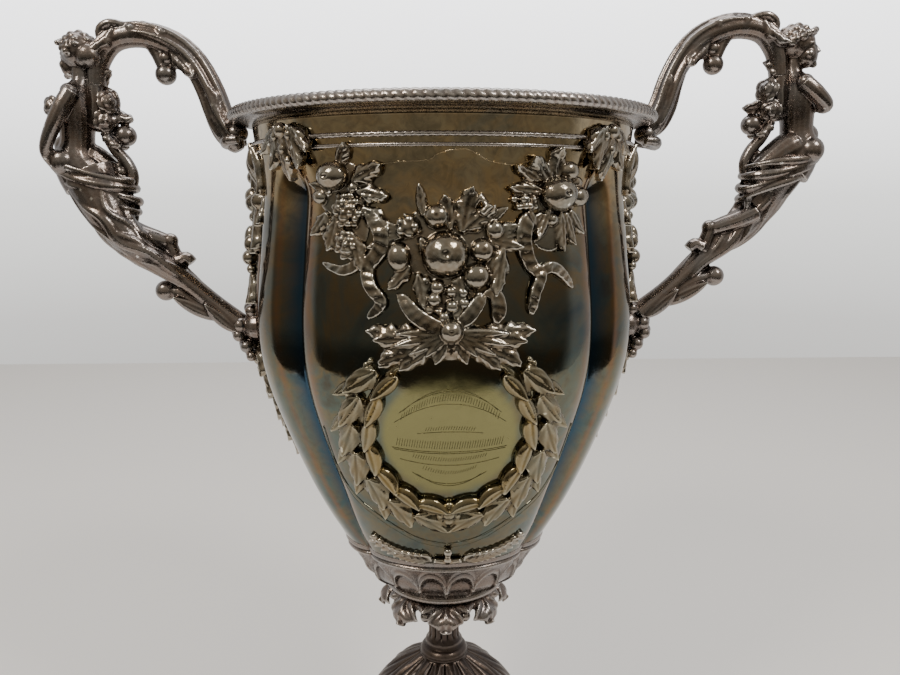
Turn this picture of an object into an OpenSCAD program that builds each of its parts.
// Two-handled presentation cup: lobed bowl on a stem and domed foot, with
// figure handles and applied fruit, ribbon and wreath ornament.
// Millimetres. Z is up, the origin is the middle of the base, -Y is the front.

/* [Bowl] */
// Height of the rim's top edge above the base
rim_z = 357; // [352:1:364]
// Outer radius of the rim moulding
rim_r = 98; // [95:0.5:102]
// Radius of the bowl at its widest, two thirds of the way up
belly_r = 91; // [89:0.5:92]
// Radius of the narrowest part of the shoulder, below the rope band
waist_r = 85.5; // [84:0.5:87]
// Outer radius of the plain neck band
neck_r = 87.5; // [86:0.5:88]
// Thickness of the sheet silver
wall = 1.6; // [1.2:0.1:2]

/* [Bowl bottom] */
// Height of the joint between the bowl and the fluted calyx
calyx_z = 153; // [151:0.5:155]
// Radius of the bowl at that joint
calyx_r = 53; // [52:0.5:54]
// Height of the underside of the calyx
seat_z = 127; // [126:0.5:128]
// Radius of the ring under the calyx
seat_r = 30; // [29:0.5:31]

/* [Stem and foot] */
// Radius of the stem at its thinnest
stem_r = 8.6; // [8:0.1:9.5]
// Height of the top of the domed foot
foot_z = 80; // [78:0.5:82]
// Radius of the ring between the stem and the foot
stem_ring_r = 12; // [11.5:0.1:13]
// Radius of the foot at the base
foot_r = 62; // [58:0.5:64]
// Height of the flat ring at the bottom of the foot
foot_rim_h = 9; // [8:0.5:10]
// Radius of the tie rod that holds foot, stem and bowl together
rod_r = 3; // [2.5:0.1:3.5]

/* [Handles] */
// Height above or below the mean at which each hand-set handle sits
handle_lift = 3; // [0:0.5:4]
// Thickness of the handle's scroll tube
scroll_r = 6.2; // [5.5:0.1:7]
// Radius of the figure's head with its hair
head_r = 9; // [8:0.1:9.5]

/* [Applied ornament] */
// How far the leaves and ribbons stand proud of the bowl
relief_h = 2.4; // [1.6:0.1:3]
// How far the fruit straps on the two sides stand proud
strap_h = 4.2; // [3.5:0.1:4.5]
// Radius of the plain field inside the laurel wreath
field_r = 27; // [25:0.5:29]
// Angle from the front to the groove on each side of the front panel
groove_turn = 46; // [44:1:50]
// Width of the laurel wreath's leaves
wreath_w = 14; // [12:0.5:15]

/* [Hidden] */
$fn = 48;

silver = "#8d877c";
cast = "#5e564c";
gilt = "#7c6a4b";
steel = "#8c8f93";

neck_z = rim_z - 7;
belly_z = calyx_z + 112;
wreath_z = calyx_z + 73;

// Points of a smooth curve through the stations of p, with n steps between them.
function bend(a, b, c, d, t) = 0.5 * (2 * b + (c - a) * t + (2 * a - 5 * b + 4 * c - d) * t * t
  + (3 * b - a - 3 * c + d) * t * t * t);
function curve(p, n) = let (last = len(p) - 1) concat(
  [for (i = [0:last - 1]) for (k = [0:n - 1])
    bend(p[max(i - 1, 0)], p[i], p[i + 1], p[min(i + 2, last)], k / n)],
  [p[last]]);

// Outside of the bowl as [radius, height] from the joint up to the rim.
bowl_line = curve([
  [calyx_r, calyx_z], [calyx_r + 14, calyx_z + 25], [calyx_r + 27, calyx_z + 55],
  [belly_r - 3, calyx_z + 86], [belly_r, belly_z], [belly_r - 3, belly_z + 34],
  [waist_r, belly_z + 60], [neck_r, neck_z]], 2);
// Outside of the calyx, from its seat up to the joint.
calyx_line = curve([
  [seat_r, seat_z], [seat_r + 9.5, seat_z + 7], [calyx_r - 6.5, seat_z + 15], [calyx_r, calyx_z]], 2);

function shifted(line, dr) = [for (p = line) [p[0] + dr, p[1]]];
function reversed(line) = [for (i = [len(line) - 1:-1:0]) line[i]];
// Radius of the bowl's outside at height z.
function bowl_at(z) = lookup(z, [for (p = bowl_line) [p[1], p[0]]]);

module ring(line, dr) {
  rotate_extrude($fn = 96) polygon(concat(line, reversed(shifted(line, dr))));
}

module turned(points) {
  rotate_extrude($fn = 96) polygon(points);
}

// The bowl as a filled body, for cutting the backs of what is soldered to it.
module bowl_body() {
  turned(concat([[0, calyx_z]], bowl_line, [[neck_r, rim_z], [0, rim_z]]));
}

// ---- bowl and its mouldings

module bowl() {
  color(silver) ring(bowl_line, -wall);
}

module calyx() {
  inside = [for (p = calyx_line) if (p[1] > seat_z + wall) [p[0] - wall, p[1]]];
  color(silver) difference() {
    turned(concat([[0, seat_z]], calyx_line, reversed(inside), [[0, seat_z + wall]]));
    translate([0, 0, seat_z - 1]) cylinder(r = rod_r, h = 10);
  }
}

module rim_moulding() {
  inner = neck_r - wall;
  color(silver) turned([
    [inner, neck_z], [neck_r, neck_z], [neck_r + 4, neck_z + 0.8], [rim_r - 2, neck_z + 2],
    [rim_r, neck_z + 3.8], [rim_r - 0.6, rim_z - 1], [rim_r - 3, rim_z],
    [neck_r + 3, rim_z - 1], [neck_r + 1, rim_z - 2.2], [inner, rim_z - 3.4]]);
}

// A wire ring of eight-sided section on the bowl's outside at height z.
module wire(z, thickness) {
  difference() {
    rotate_extrude($fn = 96)
      translate([bowl_at(z) + thickness * 0.55, z]) rotate(22.5) circle(r = thickness, $fn = 8);
    bowl_body();
  }
}

module rope_band() {
  color(cast) wire(neck_z - 9, 2);
}

module neck_wire() {
  color(silver) wire(neck_z - 13.5, 0.8);
}

module double_moulding() {
  color(silver) difference() {
    turned([
      [calyx_r - 1, calyx_z - 2.5], [calyx_r + 1.6, calyx_z - 2], [calyx_r + 2.2, calyx_z],
      [calyx_r + 1.4, calyx_z + 1], [calyx_r + 3.4, calyx_z + 2.2], [calyx_r + 3.4, calyx_z + 4],
      [calyx_r + 2, calyx_z + 5], [calyx_r - 1, calyx_z + 5]]);
    bowl_body();
    turned(concat(calyx_line, [[0, calyx_z], [0, seat_z]]));
  }
}

module seat_ring() {
  color(silver) turned([
    [seat_r - 9, seat_z - 4], [seat_r - 1, seat_z - 4], [seat_r + 1.2, seat_z - 2],
    [seat_r + 1, seat_z - 0.6], [seat_r, seat_z], [seat_r - 9, seat_z]]);
}

// ---- stem and foot

collar_top = seat_z - 4;
collar_low = collar_top - 20;
stem_low = foot_z + 8;

// Acanthus leaves that rise from the stem and turn outwards under the bowl.
module leaf_collar() {
  leaves = 8;
  color(cast) difference() {
    turned([
      [stem_r + 1.5, collar_low], [stem_r + 3.5, collar_low], [stem_r + 7, collar_low + 7],
      [seat_r - 4, collar_low + 11], [seat_r + 3, collar_low + 9], [seat_r + 6, collar_low + 12],
      [seat_r + 5, collar_low + 17], [seat_r - 1, collar_top], [stem_r + 1.5, collar_top]]);
    for (i = [0:leaves - 1]) rotate([0, 0, (i + 0.5) * 360 / leaves])
      translate([seat_r + 9, 0, collar_low]) cylinder(r = 7, h = 30);
  }
}

module stem() {
  color(cast) difference() {
    turned([
      [0, stem_low], [stem_r + 1.4, stem_low], [stem_r, stem_low + 5], [stem_r, stem_low + 10],
      [stem_r + 1.5, collar_low], [stem_r + 1.5, collar_top], [0, collar_top]]);
    translate([0, 0, foot_z - 20]) cylinder(r = rod_r, h = 80);
  }
}

module stem_ring() {
  color(cast) difference() {
    turned([
      [0, foot_z], [stem_ring_r, foot_z], [stem_ring_r + 1, foot_z + 3], [stem_ring_r, foot_z + 6],
      [stem_r + 1.4, stem_low], [0, stem_low]]);
    translate([0, 0, foot_z - 20]) cylinder(r = rod_r, h = 80);
  }
}

// Outside of the foot from the flat ring up to the stem.
foot_line = curve([
  [foot_r - 4, foot_rim_h], [foot_r - 9, foot_rim_h + 7], [foot_r - 16, foot_rim_h + 17],
  [foot_r - 19, foot_rim_h + 29], [foot_r - 20.5, foot_rim_h + 41], [foot_r - 26.5, foot_z - 16],
  [26, foot_z - 8], [19, foot_z - 3.5], [stem_ring_r, foot_z]], 3);

module foot_dome() {
  color(cast) difference() {
    turned(concat([[0, foot_rim_h]], foot_line, [[0, foot_z]]));
    turned(concat([[0, foot_rim_h - 1], [foot_line[0][0] - 3, foot_rim_h - 1]],
      [for (p = foot_line) [max(p[0] - 3, rod_r + 1), p[1] - 2.4]], [[0, foot_z - 2.4]]));
    cylinder(r = rod_r, h = foot_z + 10);
  }
}

module foot_rim() {
  color(cast) turned([
    [foot_r - 16, 0], [foot_r, 0], [foot_r, foot_rim_h * 0.4], [foot_r - 1.5, foot_rim_h * 0.75],
    [foot_r - 4, foot_rim_h], [foot_r - 7, foot_rim_h], [foot_r - 9, 3], [foot_r - 16, 2]]);
}

// ---- tie rod and what it clamps

boss_h = 3;
washer_h = 2;
nut_h = 5;
rod_low = foot_z - 2.4 - washer_h - nut_h - 3;
rod_high = seat_z + wall + boss_h;

module bowl_boss() {
  color(silver) difference() {
    translate([0, 0, seat_z + wall]) cylinder(r = 11, h = boss_h);
    translate([0, 0, seat_z]) cylinder(r = rod_r, h = 20);
  }
}

module tie_rod() {
  color(steel) translate([0, 0, rod_low]) cylinder(r = rod_r, h = rod_high - rod_low);
}

module foot_washer() {
  color(steel) difference() {
    translate([0, 0, foot_z - 2.4 - washer_h]) cylinder(r = 9, h = washer_h);
    translate([0, 0, rod_low]) cylinder(r = rod_r, h = 40);
  }
}

module foot_nut() {
  color(gilt) difference() {
    translate([0, 0, foot_z - 2.4 - washer_h - nut_h]) cylinder(r = 6, h = nut_h, $fn = 6);
    translate([0, 0, rod_low]) cylinder(r = rod_r, h = 40, $fn = 48);
  }
}

// ---- handles, drawn on the +X side

// A bent, tapering limb in the XZ plane. Each station is [x, z, half width, half depth].
module limb(stations, sides = 12, steps = 3) {
  path = curve(stations, steps);
  last = len(path) - 1;
  rings = [for (i = [0:last]) let (
      run = path[min(i + 1, last)] - path[max(i - 1, 0)],
      length = norm([run[0], run[1]]),
      across = [-run[1] / length, run[0] / length])
    for (k = [0:sides - 1]) let (a = 360 * k / sides, out = path[i][2] * cos(a))
      [path[i][0] + across[0] * out, path[i][3] * sin(a), path[i][1] + across[1] * out]];
  walls = [for (i = [0:last - 1]) for (k = [0:sides - 1]) let (
      a = i * sides + k, b = i * sides + (k + 1) % sides)
    each [[a, b, b + sides], [a, b + sides, a + sides]]];
  caps = [[for (k = [sides - 1:-1:0]) k], [for (k = [0:sides - 1]) last * sides + k]];
  polyhedron(concat(rings), concat(walls, caps), convexity = 6);
}

module bead(x, z, r, y = 0) {
  translate([x, y, z]) sphere(r = r, $fn = 32);
}

boss_x = rim_r - 2.5;
pad_z = 257;

// Puts a right-hand casting on its side of the cup, at its own height.
module on_side(side) {
  rotate([0, 0, side > 0 ? 0 : 180]) translate([0, 0, side * handle_lift]) children();
}

module scroll_form() {
  limb([
    [99, 352, scroll_r - 1, 5], [104, 361, scroll_r - 0.5, 5.5], [109, 374, scroll_r - 0.6, 5.5],
    [117, 387, scroll_r - 1, 5.5], [129, 393, scroll_r, 6], [142, 394.5, scroll_r, 6],
    [152, 389, scroll_r - 0.6, 5.5], [156, 377, scroll_r - 2, 4.5]]);
  bead(127, 378, 4.6);
  limb([[136, 391, 2, 3], [130, 384, 1.6, 2], [127, 378, 1, 1.4]], sides = 8, steps = 2);
}

module figure_form() {
  bead(167, 386, head_r);
  bead(177, 393, 4);
  // neck, chest and waist
  limb([
    [165, 380, 3.4, 3.6], [167, 373, 4, 5], [168.5, 366, 6, 9.5], [170, 358, 7, 9],
    [170, 348, 6, 7], [170, 339, 8, 8.5], [166, 331, 11, 9]]);
  for (s = [-1, 1]) translate([0, s * 7, 0])
    limb([[168, 370, 3, 3], [176, 361, 3, 2.6], [182, 352, 2.6, 2.4], [176, 345, 2.4, 2.2], [168, 343, 2, 2]],
      sides = 8, steps = 2);
}

module drapery_form() {
  limb([
    [165, 331, 16, 11], [161, 321, 13.5, 10], [158, 311, 11, 9], [151, 301.5, 7, 8],
    [140, 295, 6.5, 7], [129, 286, 6, 6.5], [116, 276, 6.5, 6], [105, 266, 7, 6], [97, 257, 7, 6]]);
  bead(134, 301, 4.6);
  bead(133, 276, 4.4);
}

module posy_form() {
  bead(152, 366, 5.5);
  bead(155, 357, 5);
  bead(149, 351, 5);
  bead(158, 362, 6);
  bead(158, 349, 5);
}

module tendril_form() {
  limb([[156, 345, 2.6, 2.6], [150, 339, 2.4, 2.4], [146, 332, 2.4, 2.4], [148, 325, 3, 3]],
    sides = 10, steps = 3);
  bead(150.5, 333, 3.6);
}

// Round pad that carries the handle's foot; it stays put when the handle is lifted.
module pad_form(side) {
  rotate([0, 0, side > 0 ? 0 : 180]) translate([80, 0, pad_z]) rotate([0, 90, 0]) {
    cylinder(r = 11, h = 18);
    cylinder(r = 8.5, h = 20.5);
  }
}

module handle_scroll(side) {
  color(cast) difference() {
    on_side(side) scroll_form();
    rim_moulding();
    rim_boss_form(side);
  }
}

module handle_figure(side) {
  color(cast) on_side(side) difference() {
    figure_form();
    scroll_form();
  }
}

module handle_drapery(side) {
  color(cast) difference() {
    on_side(side) difference() {
      drapery_form();
      figure_form();
    }
    pad_form(side);
    strap_form(side);
    bowl_body();
  }
}

module handle_posy(side) {
  color(cast) on_side(side) difference() {
    posy_form();
    scroll_form();
    figure_form();
  }
}

module handle_tendril(side) {
  color(cast) on_side(side) difference() {
    tendril_form();
    posy_form();
    figure_form();
    drapery_form();
  }
}

// Bead and leaf that cover the handle's root under the rim.
module rim_boss_form(side) {
  rotate([0, 0, side > 0 ? 0 : 180]) bead(boss_x, neck_z - 1, 5.6);
}

module rim_boss(side) {
  color(cast) difference() {
    rim_boss_form(side);
    rim_moulding();
    strap_form(side);
    rope_band();
    bowl_body();
  }
}

module handle_pad(side) {
  color(cast) difference() {
    pad_form(side);
    strap_form(side);
    bowl_body();
  }
}

// ---- ornament soldered to the bowl, drawn on the front

// The band of metal that lies against the bowl, h thick.
module relief_band(h) {
  low = [for (p = bowl_line) if (p[1] > calyx_z + 6) p];
  turned(concat(low, reversed(shifted(low, h))));
}

// Wraps a flat outline, seen from the front, on to the bowl.
module relief(h) {
  intersection() {
    rotate([90, 0, 0]) linear_extrude(rim_r + 12) children();
    relief_band(h);
  }
}

// A fruit half sunk in the bowl's face at width x and height z.
module fruit(x, z, r) {
  depth = sqrt(pow(bowl_at(z), 2) - x * x);
  translate([x, -depth, z]) sphere(r = r, $fn = 32);
}

module on_face(back) {
  rotate([0, 0, back ? 180 : 0]) children();
}

module strap_form(side) {
  rotate([0, 0, side > 0 ? 90 : -90]) relief(strap_h) {
    translate([-6, calyx_z + 50]) square([12, neck_z - calyx_z - 66]);
    for (z = [calyx_z + 46:13:neck_z - 20]) translate([0, z]) circle(r = 9, $fn = 24);
  }
}

module side_strap(side) {
  color(cast) difference() {
    strap_form(side);
    neck_wire();
  }
}

module wreath(back) {
  color(cast) on_face(back) relief(relief_h) {
    translate([0, wreath_z]) difference() {
      circle(r = field_r + wreath_w, $fn = 96);
      circle(r = field_r, $fn = 96);
      translate([0, field_r + 10]) square([28, 30], center = true);
    }
    translate([0, wreath_z - field_r - wreath_w - 3]) circle(r = 4, $fn = 24);
  }
}

bow_z = wreath_z + field_r + 17;

module ribbon_bow(back) {
  color(cast) on_face(back) relief(relief_h) {
    translate([0, bow_z]) circle(r = 4.5, $fn = 24);
    for (s = [-1, 1]) {
      translate([s * 11, bow_z + 5]) scale([1.5, 1]) circle(r = 6, $fn = 24);
      translate([s * 10, bow_z - 3.4]) square([14, 5], center = true);
    }
  }
}

cluster_z = belly_z + 33;

module fruit_cluster(back) {
  color(cast) on_face(back) difference() {
    union() {
      relief(relief_h) {
        translate([0, cluster_z + 8]) circle(r = 17, $fn = 48);
        translate([0, cluster_z - 9]) circle(r = 9, $fn = 48);
      }
      fruit(-2, cluster_z + 0.3, 8.4);
      fruit(-7, cluster_z + 14.4, 4.3);
      fruit(6, cluster_z + 15.2, 5);
      fruit(13, cluster_z + 6.3, 3.8);
    }
    bowl_body();
  }
}

// Fruit and ribbon to one side of the cluster; s is -1 for the viewer's left.
module swag(s, back) {
  color(cast) on_face(back) difference() {
    union() {
      relief(relief_h) {
        translate([s * 41, cluster_z + 24]) circle(r = 12, $fn = 48);
        translate([s * 34, cluster_z + 3]) circle(r = 8, $fn = 48);
        translate([s * 31, cluster_z - 12]) square([6, 24], center = true);
      }
      fruit(s * 42, cluster_z + 25, 6);
      fruit(s * 37, cluster_z + 14, 5);
      fruit(s * 49, cluster_z + 20, 3.6);
    }
    bowl_body();
    neck_wire();
  }
}

// Leaf tuft hung under the rope band, at the head of the groove beside the front panel.
module corner_leaf(s, back) {
  color(cast) on_face(back) difference() {
    rotate([0, 0, s * groove_turn]) relief(relief_h) {
      translate([0, neck_z - 21]) circle(r = 6, $fn = 24);
      translate([0, neck_z - 16]) square([16, 9], center = true);
    }
    neck_wire();
  }
}

module garland(back) {
  color(cast) on_face(back) relief(relief_h) {
    for (s = [-1, 1]) translate([s * 10, calyx_z + 15]) scale([2, 1]) circle(r = 5, $fn = 24);
    translate([0, calyx_z + 11]) square([6, 10], center = true);
  }
}

// Raised double line along the panel's lower edge, on both sides of the garland.
module panel_border(back) {
  inner = 21;
  color(silver) on_face(back) relief(0.9) {
    for (s = [-1, 1]) polygon([
      [s * inner, calyx_z + 18], [s * (inner + 24), calyx_z + 42],
      [s * (inner + 24), calyx_z + 45], [s * inner, calyx_z + 21]]);
  }
}

bowl();
calyx();
rim_moulding();
rope_band();
neck_wire();
double_moulding();
seat_ring();
leaf_collar();
stem();
stem_ring();
foot_dome();
foot_rim();
bowl_boss();
tie_rod();
foot_washer();
foot_nut();
handle_scroll(1);  // handle_scroll_right
handle_figure(1);  // handle_figure_right
handle_drapery(1);  // handle_drapery_right
handle_posy(1);  // handle_posy_right
handle_tendril(1);  // handle_tendril_right
rim_boss(1);  // rim_boss_right
handle_pad(1);  // handle_pad_right
side_strap(1);  // side_strap_right
handle_scroll(-1);  // handle_scroll_left
handle_figure(-1);  // handle_figure_left
handle_drapery(-1);  // handle_drapery_left
handle_posy(-1);  // handle_posy_left
handle_tendril(-1);  // handle_tendril_left
rim_boss(-1);  // rim_boss_left
handle_pad(-1);  // handle_pad_left
side_strap(-1);  // side_strap_left
wreath(false);  // wreath_front
ribbon_bow(false);  // ribbon_bow_front
fruit_cluster(false);  // fruit_cluster_front
swag(-1, false);  // swag_west_front
swag(1, false);  // swag_east_front
corner_leaf(-1, false);  // corner_leaf_west_front
corner_leaf(1, false);  // corner_leaf_east_front
garland(false);  // garland_front
panel_border(false);  // panel_border_front
wreath(true);  // wreath_back
ribbon_bow(true);  // ribbon_bow_back
fruit_cluster(true);  // fruit_cluster_back
swag(-1, true);  // swag_west_back
swag(1, true);  // swag_east_back
corner_leaf(-1, true);  // corner_leaf_west_back
corner_leaf(1, true);  // corner_leaf_east_back
garland(true);  // garland_back
panel_border(true);  // panel_border_back
